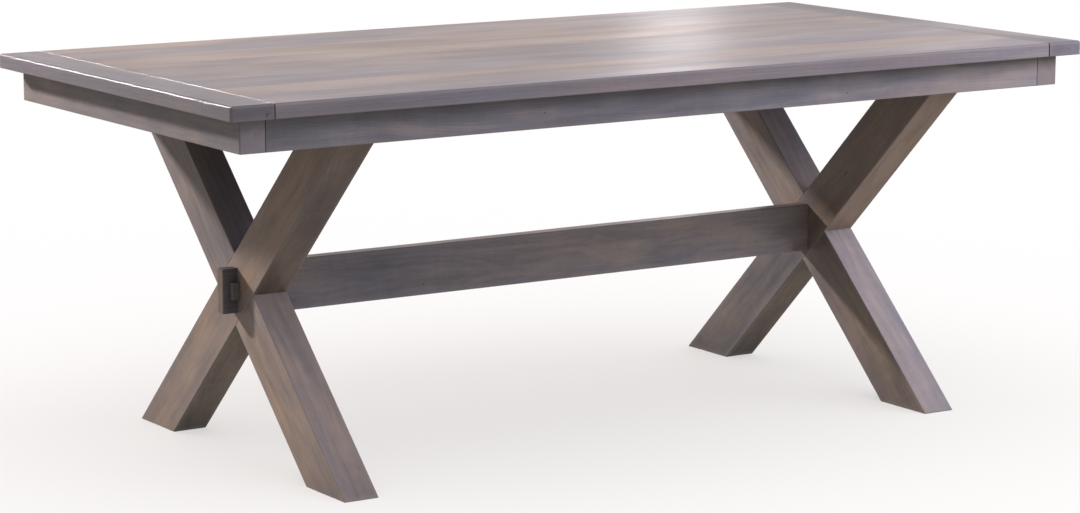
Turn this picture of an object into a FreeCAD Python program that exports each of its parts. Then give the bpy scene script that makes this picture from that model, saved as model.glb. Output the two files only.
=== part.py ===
import FreeCAD, Part
import math
import os

# Sawbuck dining table. Millimetres, X along the table, Y across it, Z up from the floor.
# The front is -Y, the left end is -X, and the origin is on the floor under the middle.

# Whole table
table_height = 762.0
top_length = 1972.0
top_width = 992.0

# Top: edge-glued boards that run lengthwise, with a breadboard across each end
top_thickness = 28.5
board_shares = (1.25, 1.25, 1.4, 1.4, 1.5, 1.5, 1.0, 1.0)
breadboard_width = 87.0
top_edge_radius = 5.0
bottom_edge_radius = 2.0
top_corner_radius = 6.0
seam_chamfer = 1.2

# Tongue on the boards' ends, in a groove that stops short of the breadboard's ends
tongue_length = 24.0
tongue_thickness = 9.5
tongue_clearance = 0.15
groove_stop = 30.0
groove_end_gap = 1.0

# Blind pegs that hold the breadboard, driven from below, in slots that let the top swell
peg_diameter = 9.5
peg_cover = 7.0
peg_clearance = 0.1
peg_slot_play = 2.5

# Aprons: thick end aprons run the full width, side aprons stand between them
overhang_end = 35.0
overhang_side = 36.0
apron_depth = 63.5
end_apron_thickness = 51.0
side_apron_thickness = 22.0
apron_ease = 1.5
apron_corner_radius = 3.0
apron_seam_chamfer = 1.0

# Dowels between the side aprons and the end aprons
dowel_diameter = 10.0
dowel_length = 60.0
dowel_pitch = 32.0
dowel_clearance = 0.1
dowel_end_gap = 1.0

# Glue blocks in the apron corners, each with one screw into either apron
corner_block_reach = 72.0
corner_block_tip = 16.0
corner_block_height = 46.0
corner_block_screw_reach = 48.0
corner_block_screw_rise = 9.0
corner_block_seat = 20.0
corner_block_screw_length = 34.0

# Wooden buttons that hold the top down, with their tongues in a groove along the aprons
button_length = 44.0
button_width = 32.0
button_thickness = 19.0
button_tongue_length = 9.0
button_tongue_thickness = 8.0
button_groove_drop = 7.0
button_clearance = 0.25
button_ease = 1.5
button_screw_length = 32.0
middle_bay_buttons = 3
end_apron_buttons = 3

# Trestles: two half-lapped legs under a cleat, their middle set in from the end of the top
trestle_inset = 297.5
leg_width = 102.5
leg_thickness = 73.0
leg_angle = 46.2
leg_ease = 1.8
foot_corner_radius = 2.6
cleat_width = 89.0
cleat_end_gap = 3.0
cleat_ease = 2.5

# Lag screws from the cleat down into the leg tops
lag_diameter = 8.0
lag_grip_in_leg = 48.0
lag_head_across_flats = 13.0
lag_head_height = 5.5
lag_recess_depth = 14.0
lag_recess_diameter = 26.0
lag_pitch = 40.0
lag_inset = 30.0
lag_washer_diameter = 22.0
lag_washer_thickness = 2.0

# Screws from the cleat up into the top, in counterbores, with slots across the grain
cleat_screw_count = 5
cleat_screw_margin = 45.0
cleat_screw_length = 50.0
cleat_counterbore_depth = 36.0
cleat_counterbore_diameter = 20.0
cleat_slot_play = 3.0
cleat_washer_diameter = 16.0
cleat_washer_thickness = 1.5

# Pan-head wood screws
screw_diameter = 4.8
screw_head_diameter = 9.0
screw_head_height = 3.2
screw_head_round = 1.9
screw_drive_width = 1.4
screw_drive_length = 5.2
screw_drive_depth = 1.8
screw_hole_clearance = 0.4
screw_head_clearance = 1.0
thread_clearance = 0.05
point_length = 6.0

# Stretcher with a through tenon at either end
stretcher_height = 100.5
stretcher_thickness = 32.0
stretcher_ease = 2.0
tenon_height = 88.0
tenon_thickness = 22.0
tenon_projection = 32.0
tenon_ease = 1.5
mortise_clearance = 0.25

# Tapered tusk keys, driven from the front through the tenons, tight against the legs
key_height = 34.0
key_head_thickness = 17.5
key_tail_thickness = 15.0
key_head_projection = 11.0
key_tail_projection = 11.0
key_clearance = 0.2
key_draw_relief = 3.0
key_ease = 1.0

# Levels and faces that several pieces share
top_underside = table_height - top_thickness
apron_bottom = top_underside - apron_depth
leg_height = apron_bottom
crossing_height = leg_height / 2
seam_x = top_length / 2 - breadboard_width
end_face_x = top_length / 2 - overhang_end
end_inner_x = end_face_x - end_apron_thickness
side_face_y = top_width / 2 - overhang_side
side_inner_y = side_face_y - side_apron_thickness
trestle_x = top_length / 2 - trestle_inset
leg_outer_x = trestle_x + leg_thickness / 2
leg_inner_x = trestle_x - leg_thickness / 2
leg_tangent = math.tan(math.radians(leg_angle))
leg_half_width_y = leg_width / 2 / math.cos(math.radians(leg_angle))
foot_reach = crossing_height * leg_tangent

Vector = FreeCAD.Vector
tiny = 1e-4
overcut = 5.0


def block(x_low, x_high, y_low, y_high, z_low, z_high):
    corner = Vector(x_low, y_low, z_low)
    return Part.makeBox(x_high - x_low, y_high - y_low, z_high - z_low, corner)


def rod(radius, start, end):
    path = end - start
    return Part.makeCylinder(radius, path.Length, start, path)


def prism(points, path):
    outline = Part.makePolygon(points + points[:1])
    return Part.Face(outline).extrude(path)


def lies_on(low, high, value):
    return abs(low - value) < tiny and abs(high - value) < tiny


def chosen_edges(solid, rule):
    return [edge for edge in solid.Edges if rule(edge.BoundBox)]


def fillet(solid, radius, rule):
    return solid.makeFillet(radius, chosen_edges(solid, rule))


def chamfer(solid, size, rule):
    return solid.makeChamfer(size, chosen_edges(solid, rule))


def mirror_x(shape):
    return shape.mirror(Vector(0, 0, 0), Vector(1, 0, 0))


def evenly(low, high, count):
    step = (high - low) / count
    return [low + step * (index + 0.5) for index in range(count)]


def save(name, shape):
    shape.exportStep("parts/" + name + ".step")
    print(name, len(shape.Solids), "solid", round(shape.Volume / 1000.0, 1), "cm3")


def save_group(name, solids):
    save(name, Part.makeCompound(solids))


# Fasteners, made pointing along a direction from the underside of the head

def placed(shape, head, direction):
    turn = FreeCAD.Rotation(Vector(0, 0, -1), direction)
    copy = shape.copy()
    copy.Placement = FreeCAD.Placement(head, turn)
    return copy


def screw_shank(diameter, length):
    radius = diameter / 2
    shank = rod(radius, Vector(0, 0, 0), Vector(0, 0, point_length - length))
    point = Part.makeCone(radius, 0, point_length, Vector(0, 0, point_length - length), Vector(0, 0, -1))
    return shank.fuse(point)


def wood_screw(length):
    head = rod(screw_head_diameter / 2, Vector(0, 0, 0), Vector(0, 0, screw_head_height))
    head = fillet(head, screw_head_round, lambda box: lies_on(box.ZMin, box.ZMax, screw_head_height))
    drive_floor = screw_head_height - screw_drive_depth
    half_length = screw_drive_length / 2
    half_width = screw_drive_width / 2
    drive_top = screw_head_height + overcut
    slot = block(-half_length, half_length, -half_width, half_width, drive_floor, drive_top)
    cross = block(-half_width, half_width, -half_length, half_length, drive_floor, drive_top)
    return head.cut(slot).cut(cross).fuse(screw_shank(screw_diameter, length)).removeSplitter()


def lag_screw(length):
    corner_radius = lag_head_across_flats / math.sqrt(3)
    corners = []
    for index in range(6):
        angle = math.radians(60 * index)
        corners.append(Vector(corner_radius * math.cos(angle), corner_radius * math.sin(angle), 0))
    head = prism(corners, Vector(0, 0, lag_head_height))
    return head.fuse(screw_shank(lag_diameter, length)).removeSplitter()


def washer(outer_diameter, thickness, bolt_diameter):
    disc = rod(outer_diameter / 2, Vector(0, 0, 0), Vector(0, 0, thickness))
    hole_radius = bolt_diameter / 2 + screw_hole_clearance
    hole = rod(hole_radius, Vector(0, 0, -overcut), Vector(0, 0, thickness + overcut))
    return disc.cut(hole)


def pilot(diameter, length, head, direction):
    radius = diameter / 2 + thread_clearance
    return rod(radius, head, head + direction * (length + thread_clearance))


up = Vector(0, 0, 1)
down = Vector(0, 0, -1)


# Cleat screws: from a counterbore in the cleat's underside, through a slot, up into the boards

cleat_screw_reach = foot_reach - leg_half_width_y - cleat_screw_margin
cleat_screw_seat = apron_bottom + cleat_counterbore_depth
cleat_screw_spots = []
for side in (-1, 1):
    for index in range(cleat_screw_count):
        share = 2 * index / (cleat_screw_count - 1) - 1
        cleat_screw_spots.append(Vector(side * trestle_x, share * cleat_screw_reach, cleat_screw_seat))

cleat_washer = washer(cleat_washer_diameter, cleat_washer_thickness, screw_diameter)
cleat_washers = []
cleat_screws = []
cleat_pilots = []
for spot in cleat_screw_spots:
    cleat_washers.append(placed(cleat_washer, spot, up))
    head = spot - up * cleat_washer_thickness
    cleat_screws.append(placed(wood_screw(cleat_screw_length), head, up))
    cleat_pilots.append(pilot(screw_diameter, cleat_screw_length, head, up))


# Lag screws: from a recess in the cleat's top, down into the legs on the side they lean to

lag_seat = top_underside - lag_recess_depth
lag_length = lag_washer_thickness + lag_seat - apron_bottom + lag_grip_in_leg
lag_spots = []
for side in (-1, 1):
    for across in (-1, 1):
        for shift in (-lag_pitch / 2, lag_pitch / 2):
            lag_y = across * (foot_reach - lag_inset + shift)
            lag_spots.append(Vector(side * trestle_x, lag_y, lag_seat))

lag_washer = washer(lag_washer_diameter, lag_washer_thickness, lag_diameter)
lag_washers = []
lag_screws = []
lag_pilots = []
for spot in lag_spots:
    lag_washers.append(placed(lag_washer, spot, down))
    head = spot + up * lag_washer_thickness
    lag_screws.append(placed(lag_screw(lag_length), head, down))
    lag_pilots.append(pilot(lag_diameter, lag_length, head, down))


# Buttons: each lies under the top with its tongue in the apron's groove

groove_top = top_underside - button_groove_drop
groove_bottom = groove_top - button_tongue_thickness - 2 * button_clearance
groove_depth = button_tongue_length + 2 * button_clearance


def button():
    # Made with the apron's inner face on Y = 0, the apron on the -Y side, and the top at Z = 0
    body_back = button_clearance
    body_front = button_clearance + button_width
    half = button_length / 2
    body = block(-half, half, body_back, body_front, -button_thickness, 0)
    body = fillet(body, button_ease, lambda box: lies_on(box.ZMin, box.ZMax, -button_thickness))
    tongue_top = -button_groove_drop - button_clearance
    tongue = block(-half, half, -button_tongue_length, body_front - button_ease,
                   tongue_top - button_tongue_thickness, tongue_top)
    hole_y = button_clearance + button_width / 2
    hole = rod(screw_diameter / 2 + screw_hole_clearance,
               Vector(0, hole_y, -button_thickness - overcut), Vector(0, hole_y, overcut))
    return body.fuse(tongue).removeSplitter().cut(hole)


def button_spots():
    # Where the middle of each button meets its apron, and the turn about Z that faces it inwards
    spots = []
    cleat_half = cleat_width / 2
    outer_bay = (trestle_x + cleat_half + end_inner_x - corner_block_reach) / 2
    lengthwise = evenly(-trestle_x + cleat_half, trestle_x - cleat_half, middle_bay_buttons)
    lengthwise = [-outer_bay] + lengthwise + [outer_bay]
    for x in lengthwise:
        spots.append((Vector(x, -side_inner_y, top_underside), 0))
        spots.append((Vector(x, side_inner_y, top_underside), 180))
    block_end = side_inner_y - corner_block_reach
    for y in evenly(-block_end, block_end, end_apron_buttons):
        spots.append((Vector(-end_inner_x, y, top_underside), -90))
        spots.append((Vector(end_inner_x, y, top_underside), 90))
    return spots


buttons = []
button_screws = []
button_pilots = []
for spot, turn in button_spots():
    placement = FreeCAD.Placement(spot, FreeCAD.Rotation(up, turn))
    piece = button()
    piece.Placement = placement
    buttons.append(piece)
    head = placement.multVec(Vector(0, button_clearance + button_width / 2, -button_thickness))
    button_screws.append(placed(wood_screw(button_screw_length), head, up))
    button_pilots.append(pilot(screw_diameter, button_screw_length, head, up))


# Top boards, front to back

def board_edges():
    edges = [-top_width / 2]
    for share in board_shares:
        edges.append(edges[-1] + top_width * share / sum(board_shares))
    return edges


def peg_spots(side):
    # One peg at the middle of each board, halfway along its tongue
    edges = board_edges()
    x = side * (seam_x + tongue_length / 2)
    bottom = top_underside
    return [Vector(x, (low + high) / 2, bottom) for low, high in zip(edges, edges[1:])]


def peg(spot, extra):
    return rod(peg_diameter / 2 + extra, spot, spot + up * (top_thickness - peg_cover + extra))


def peg_slot(spot):
    radius = peg_diameter / 2 + peg_clearance
    slide = Vector(0, peg_slot_play, 0)
    bottom = spot - up * overcut
    top = spot + up * (top_thickness + overcut)
    near_end = rod(radius, bottom - slide, top - slide)
    far_end = rod(radius, bottom + slide, top + slide)
    middle = block(spot.x - radius, spot.x + radius, spot.y - peg_slot_play, spot.y + peg_slot_play,
                   bottom.z, top.z)
    return near_end.fuse(far_end).fuse(middle)


tongue_middle = top_underside + top_thickness / 2
tongue_reach_y = top_width / 2 - groove_stop - tongue_clearance


def top_board(y_low, y_high):
    board = block(-seam_x, seam_x, y_low, y_high, top_underside, table_height)
    for outer_y, face_y in ((-top_width / 2, y_low), (top_width / 2, y_high)):
        if abs(outer_y - face_y) < tiny:
            def on_outer_face(box, level, y=face_y):
                return lies_on(box.YMin, box.YMax, y) and lies_on(box.ZMin, box.ZMax, level)
            board = fillet(board, top_edge_radius, lambda box: on_outer_face(box, table_height))
            board = fillet(board, bottom_edge_radius, lambda box: on_outer_face(box, top_underside))

    def shows_at_seam(box):
        at_end = lies_on(abs(box.XMin), abs(box.XMax), seam_x) and box.XLength < tiny
        glued = lies_on(box.YMin, box.YMax, y_low) or lies_on(box.YMin, box.YMax, y_high)
        outer = abs(abs(box.YMin) - top_width / 2) < tiny
        return at_end and (outer or not glued)
    board = chamfer(board, seam_chamfer, shows_at_seam)

    tongue_low = max(y_low, -tongue_reach_y)
    tongue_high = min(y_high, tongue_reach_y)
    tip_x = seam_x + tongue_length
    tongue = block(-tip_x, tip_x, tongue_low, tongue_high,
                   tongue_middle - tongue_thickness / 2, tongue_middle + tongue_thickness / 2)
    board = board.fuse(tongue).removeSplitter()
    for side in (-1, 1):
        for spot in peg_spots(side):
            if y_low < spot.y < y_high:
                board = board.cut(peg_slot(spot))
    return board.cut(Part.makeCompound(cleat_pilots + button_pilots))


def breadboard():
    # Made for the right end and mirrored for the left
    half = top_width / 2
    end_x = top_length / 2
    board = block(seam_x, end_x, -half, half, top_underside, table_height)
    board = fillet(board, top_corner_radius,
                   lambda box: lies_on(box.XMin, box.XMax, end_x) and box.ZLength > top_thickness / 2)

    def rim(level):
        return lambda box: lies_on(box.ZMin, box.ZMax, level) and box.XMax > seam_x + tiny
    board = fillet(board, top_edge_radius, rim(table_height))
    board = fillet(board, bottom_edge_radius, rim(top_underside))
    board = chamfer(board, seam_chamfer, lambda box: lies_on(box.XMin, box.XMax, seam_x))
    groove_half = tongue_thickness / 2 + tongue_clearance
    groove_y = half - groove_stop
    groove = block(seam_x - overcut, seam_x + tongue_length + groove_end_gap, -groove_y, groove_y,
                   tongue_middle - groove_half, tongue_middle + groove_half)
    board = board.cut(groove)
    for spot in peg_spots(1):
        board = board.cut(peg(spot, peg_clearance))
    return board


edges = board_edges()
for number, (low, high) in enumerate(zip(edges, edges[1:]), start=1):
    save("top_board_" + str(number), top_board(low, high))

right_breadboard = breadboard()
save("breadboard_right", right_breadboard)
save("breadboard_left", mirror_x(right_breadboard))
right_pegs = [peg(spot, 0) for spot in peg_spots(1)]
save_group("breadboard_pegs_right", right_pegs)
save_group("breadboard_pegs_left", [mirror_x(solid) for solid in right_pegs])


# Dowels between the aprons, level with the middle of the apron's depth

dowel_z = apron_bottom + apron_depth / 2
dowel_y = side_face_y - side_apron_thickness / 2
dowel_spots = []
for side in (-1, 1):
    for across in (-1, 1):
        for rise in (-dowel_pitch / 2, dowel_pitch / 2):
            dowel_spots.append(Vector(side * end_inner_x, across * dowel_y, dowel_z + rise))


def dowel(spot, radial_gap, end_gap):
    half = Vector(dowel_length / 2 + end_gap, 0, 0)
    return rod(dowel_diameter / 2 + radial_gap, spot - half, spot + half)


dowel_holes = Part.makeCompound([dowel(spot, dowel_clearance, dowel_end_gap) for spot in dowel_spots])
save_group("apron_dowels", [dowel(spot, 0, 0) for spot in dowel_spots])


# Corner blocks: made for the back right corner and mirrored to the others

block_top = top_underside
block_bottom = block_top - corner_block_height
block_middle = (block_top + block_bottom) / 2


def corner_screw_seats():
    # Head positions and directions: the upper screw runs into the end apron, the lower into the side apron
    end_screw = Vector(end_inner_x - corner_block_seat, side_inner_y - corner_block_screw_reach,
                       block_middle + corner_block_screw_rise)
    side_screw = Vector(end_inner_x - corner_block_screw_reach, side_inner_y - corner_block_seat,
                        block_middle - corner_block_screw_rise)
    return [(end_screw, Vector(1, 0, 0)), (side_screw, Vector(0, 1, 0))]


def corner_block():
    reach = corner_block_reach
    tip = corner_block_tip
    plan = [(0, 0), (reach, 0), (reach, tip), (tip, reach), (0, reach)]
    points = [Vector(end_inner_x - along, side_inner_y - across, block_bottom) for along, across in plan]
    solid = prism(points, up * corner_block_height)
    for head, direction in corner_screw_seats():
        counterbore = rod(screw_head_diameter / 2 + screw_head_clearance, head, head - direction * reach)
        through = rod(screw_diameter / 2 + screw_hole_clearance, head, head + direction * reach)
        solid = solid.cut(counterbore).cut(through)
    return solid


def to_corner(shape, side, across):
    if side < 0:
        shape = mirror_x(shape)
    if across < 0:
        shape = shape.mirror(Vector(0, 0, 0), Vector(0, 1, 0))
    return shape


corner_screws = []
corner_pilots = []
for side, side_name in ((-1, "left"), (1, "right")):
    for across, across_name in ((-1, "front"), (1, "back")):
        save("corner_block_" + across_name + "_" + side_name, to_corner(corner_block(), side, across))
        for head, direction in corner_screw_seats():
            screw = placed(wood_screw(corner_block_screw_length), head, direction)
            hole = pilot(screw_diameter, corner_block_screw_length, head, direction)
            corner_screws.append(to_corner(screw, side, across))
            corner_pilots.append(to_corner(hole, side, across))
save_group("corner_block_screws", corner_screws)
corner_holes = Part.makeCompound(corner_pilots)


# Aprons

def end_apron():
    apron = block(end_inner_x, end_face_x, -side_face_y, side_face_y, apron_bottom, top_underside)
    apron = fillet(apron, apron_corner_radius,
                   lambda box: lies_on(box.XMin, box.XMax, end_face_x) and box.YLength < tiny)
    apron = fillet(apron, apron_ease,
                   lambda box: lies_on(box.ZMin, box.ZMax, apron_bottom) and box.XMax > end_inner_x + tiny)
    groove = block(end_inner_x - overcut, end_inner_x + groove_depth, -side_inner_y, side_inner_y,
                   groove_bottom, groove_top)
    return apron.cut(groove)


def side_apron():
    # Made for the back and mirrored for the front
    apron = block(-end_inner_x, end_inner_x, side_inner_y, side_face_y, apron_bottom, top_underside)
    apron = chamfer(apron, apron_seam_chamfer,
                    lambda box: lies_on(box.YMin, box.YMax, side_face_y) and box.XLength < tiny)
    apron = fillet(apron, apron_ease,
                   lambda box: lies_on(box.ZMin, box.ZMax, apron_bottom) and box.XLength > end_inner_x)
    groove = block(-end_inner_x - overcut, end_inner_x + overcut, side_inner_y - overcut,
                   side_inner_y + groove_depth, groove_bottom, groove_top)
    return apron.cut(groove)


right_end = end_apron()
for name, apron in (("end_apron_left", mirror_x(right_end)), ("end_apron_right", right_end)):
    save(name, apron.cut(dowel_holes).cut(corner_holes))
back_side = side_apron()
front_side = back_side.mirror(Vector(0, 0, 0), Vector(0, 1, 0))
for name, apron in (("side_apron_front", front_side), ("side_apron_back", back_side)):
    save(name, apron.cut(dowel_holes).cut(corner_holes))

save_group("top_buttons", buttons)
save_group("button_screws", button_screws)


# Cleats

def cleat(side):
    half_length = side_inner_y - cleat_end_gap
    x = side * trestle_x
    half = cleat_width / 2
    solid = block(x - half, x + half, -half_length, half_length, apron_bottom, top_underside)
    solid = fillet(solid, cleat_ease, lambda box: lies_on(box.ZMin, box.ZMax, apron_bottom))
    for spot in cleat_screw_spots:
        slide = Vector(0, cleat_slot_play, 0)
        radius = screw_diameter / 2 + screw_hole_clearance
        mouth = spot - up * (cleat_counterbore_depth + overcut)
        solid = solid.cut(rod(cleat_counterbore_diameter / 2, spot, mouth))
        for shift in (slide, -slide):
            solid = solid.cut(rod(radius, spot + shift, spot + shift + up * apron_depth))
        solid = solid.cut(block(spot.x - radius, spot.x + radius, spot.y - cleat_slot_play,
                                spot.y + cleat_slot_play, spot.z, spot.z + apron_depth))
    for spot in lag_spots:
        recess = rod(lag_recess_diameter / 2, spot, spot + up * (lag_recess_depth + overcut))
        through = rod(lag_diameter / 2 + screw_hole_clearance, spot, spot - up * apron_depth)
        solid = solid.cut(recess).cut(through)
    return solid


save("cleat_left", cleat(-1))
save("cleat_right", cleat(1))
save_group("cleat_screws", cleat_screws)
save_group("cleat_washers", cleat_washers)
save_group("leg_lag_screws", lag_screws)
save_group("leg_lag_washers", lag_washers)


# Legs: a slanted outline in Y and Z, carried along X, half-lapped at the crossing

def leg_corners(lean):
    foot = lean * foot_reach
    half = leg_half_width_y
    return [(foot - half, 0), (foot + half, 0), (half - foot, leg_height), (-half - foot, leg_height)]


def rounded_outline(corners, radius, x):
    points = [Vector(x, y, z) for y, z in corners]
    arcs = []
    for index, corner in enumerate(points):
        before = (points[index - 1] - corner).normalize()
        after = (points[(index + 1) % len(points)] - corner).normalize()
        half_angle = before.getAngle(after) / 2
        trim = radius / math.tan(half_angle)
        inwards = (before + after).normalize()
        middle = corner + inwards * (radius / math.sin(half_angle) - radius)
        arcs.append(Part.Arc(corner + before * trim, middle, corner + after * trim).toShape())
    outline = []
    for index, arc in enumerate(arcs):
        following = arcs[(index + 1) % len(arcs)]
        outline.append(arc)
        outline.append(Part.makeLine(arc.Vertexes[-1].Point, following.Vertexes[0].Point))
    return Part.Wire(outline)


def leg(x, lean, notch_side):
    face_low = x - leg_thickness / 2
    face_high = x + leg_thickness / 2
    outline = rounded_outline(leg_corners(lean), foot_corner_radius, face_low)
    solid = Part.Face(outline).extrude(Vector(leg_thickness, 0, 0))

    def outlines_a_face(box):
        return lies_on(box.XMin, box.XMax, face_low) or lies_on(box.XMin, box.XMax, face_high)
    solid = fillet(solid, leg_ease, outlines_a_face)
    crossing_leg = [Vector(x, y, z) for y, z in leg_corners(-lean)]
    notch = prism(crossing_leg, Vector(notch_side * leg_thickness, 0, 0))
    half_y = tenon_thickness / 2 + mortise_clearance
    half_z = tenon_height / 2 + mortise_clearance
    mortise = block(face_low - overcut, face_high + overcut, -half_y, half_y,
                    crossing_height - half_z, crossing_height + half_z)
    return solid.cut(notch).cut(mortise).cut(Part.makeCompound(lag_pilots))


# On the left face of either trestle the leg with its foot at the back is whole
for side, side_name in ((-1, "left"), (1, "right")):
    save(side_name + "_front_leg", leg(side * trestle_x, -1, -1))
    save(side_name + "_back_leg", leg(side * trestle_x, 1, 1))


# Stretcher and keys

tenon_end_x = leg_outer_x + tenon_projection
key_head_y = -tenon_thickness / 2 - key_head_projection
key_tail_y = tenon_thickness / 2 + key_tail_projection
key_inner_x = leg_outer_x + key_clearance


def key_outer_x(y):
    share = (y - key_head_y) / (key_tail_y - key_head_y)
    return key_inner_x + key_head_thickness + share * (key_tail_thickness - key_head_thickness)


def key_mortise():
    # Follows the key's taper outboard, and runs a little way into the leg so that the key draws up
    bottom = crossing_height - key_height / 2 - key_clearance
    inner_x = leg_outer_x - key_draw_relief
    plan = [(inner_x, key_head_y), (key_outer_x(key_head_y) + key_clearance, key_head_y),
            (key_outer_x(key_tail_y) + key_clearance, key_tail_y), (inner_x, key_tail_y)]
    return prism([Vector(x, y, bottom) for x, y in plan], up * (key_height + 2 * key_clearance))


def tusk_key():
    # Made for the right end and mirrored for the left
    bottom = crossing_height - key_height / 2
    plan = [(key_inner_x, key_head_y), (key_outer_x(key_head_y), key_head_y),
            (key_outer_x(key_tail_y), key_tail_y), (key_inner_x, key_tail_y)]
    solid = prism([Vector(x, y, bottom) for x, y in plan], up * key_height)
    for end_y in (key_head_y, key_tail_y):
        solid = fillet(solid, key_ease, lambda box: lies_on(box.YMin, box.YMax, end_y))
    return solid


def bar_along_x(half_length, thickness, height):
    return block(-half_length, half_length, -thickness / 2, thickness / 2,
                 crossing_height - height / 2, crossing_height + height / 2)


def stretcher():
    body = bar_along_x(leg_inner_x, stretcher_thickness, stretcher_height)
    body = fillet(body, stretcher_ease, lambda box: box.XLength > leg_inner_x)
    tenon = bar_along_x(tenon_end_x, tenon_thickness, tenon_height)
    for end_x in (-tenon_end_x, tenon_end_x):
        tenon = fillet(tenon, tenon_ease, lambda box: lies_on(box.XMin, box.XMax, end_x))
    solid = body.fuse(tenon).removeSplitter()
    mortise = key_mortise()
    return solid.cut(mortise).cut(mirror_x(mortise))


save("stretcher", stretcher())
right_key = tusk_key()
save("right_key", right_key)
save("left_key", mirror_x(right_key))
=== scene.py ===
from functools import partial
import bmesh
import bpy
import numpy as np
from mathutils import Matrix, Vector


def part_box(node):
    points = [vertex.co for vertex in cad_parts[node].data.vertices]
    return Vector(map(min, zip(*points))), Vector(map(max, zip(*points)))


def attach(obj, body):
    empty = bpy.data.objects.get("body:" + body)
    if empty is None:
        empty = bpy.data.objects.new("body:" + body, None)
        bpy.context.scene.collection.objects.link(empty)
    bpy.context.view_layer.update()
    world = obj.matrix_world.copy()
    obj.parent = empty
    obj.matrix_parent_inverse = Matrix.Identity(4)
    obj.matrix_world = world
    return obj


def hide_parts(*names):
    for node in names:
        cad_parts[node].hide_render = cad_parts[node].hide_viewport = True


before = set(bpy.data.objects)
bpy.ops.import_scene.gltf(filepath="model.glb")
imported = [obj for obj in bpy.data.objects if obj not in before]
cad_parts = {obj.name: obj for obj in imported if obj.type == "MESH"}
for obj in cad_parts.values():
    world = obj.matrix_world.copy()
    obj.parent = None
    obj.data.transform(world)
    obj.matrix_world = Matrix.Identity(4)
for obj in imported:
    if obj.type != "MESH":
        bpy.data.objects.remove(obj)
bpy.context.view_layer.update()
mm = 0.001
print("frame loaded,", len(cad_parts), "nodes")


# Sticks: every timber is a rounded rectangle carried along its grain.
# along, across and deep are a timber's own directions: its length, its width and its thickness.

carving = {
    "arcPoints": 6,  # points on each quarter round
    "lead": 0.9 * mm,  # from a quarter round to a flat's first line, so that the flat shades flat
    "capRings": (0.6,),  # rings inside the edge of an end
    # where an end's rounding gets its stations, as shares of its reach: on sticks, and on tenons and keys
    "stickStations": (0, 0.04, 0.14, 0.3, 0.52, 0.76, 1.0, 1.5),
    "tenonStations": (0, 0.05, 0.18, 0.4, 0.7, 1.0, 1.6),
    "bevelDepth": 0.2 * mm,  # what counts as in a bevel, beyond its own depth
    "sharpest": 1e-6,  # least radius of a stick's end
    "softest": 0.05 * mm,  # least ellipse on a stick's corners
    "endReach": 1 * mm,  # least reach of end grain round an end
    "dentLines": 9,  # lines through each dent
    "wearReach": 5 * mm,  # how far rubbed edges reach on to the faces
    "paintedFloorShadeAllRound": 0.5,  # painted floor shade on faces that don't look down, as a share
    "lookRound": 24,  # how many points to either side may give a ring's direction
    "noLength": 1e-8,  # shorter than this has no direction
    "noArea": 1e-12,
    "mergeUnder": 0.002 * mm,  # points that coincide
    "dissolveUnder": 0.001 * mm,  # edges without length
    "smoothUnder": np.radians(34),  # edges with a greater angle stay crisp
}


def roundOver(distance, radius, angle=np.pi / 2):
    # A side's set-back at a rounded end: a line parallel to the end, this distance along the side from the
    # sharp edge, meets the circle that touches end and side; beyond the touching point there is none
    reach = radius / np.tan(angle / 2)
    ahead = np.maximum(reach - distance, 0)
    middle = ahead * np.cos(angle) + radius * np.sin(angle)
    return np.sin(angle) * (middle - np.sqrt(np.maximum(middle ** 2 - ahead ** 2, 0)))


def endLines(low, high, step, ends, marks=()):
    # Positions from low to high about a step apart, with more at these distances from both ends, and at marks
    even = np.linspace(low, high, max(3, int(round((high - low) / step)) + 1))
    lines = np.concatenate([even, low + np.array(ends), high - np.array(ends), *marks])
    return np.unique(np.round(lines[(lines >= low) & (lines <= high)], 5))


def flatLines(low, high, step, margins, marks=()):
    # Lines along a flat between two quarter rounds, which take up the margins
    start = low + margins[0] + carving["lead"]
    stop = high - margins[1] - carving["lead"]
    return endLines(start, stop, step, [0], [mark[(mark > start) & (mark < stop)] for mark in marks])


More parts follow.
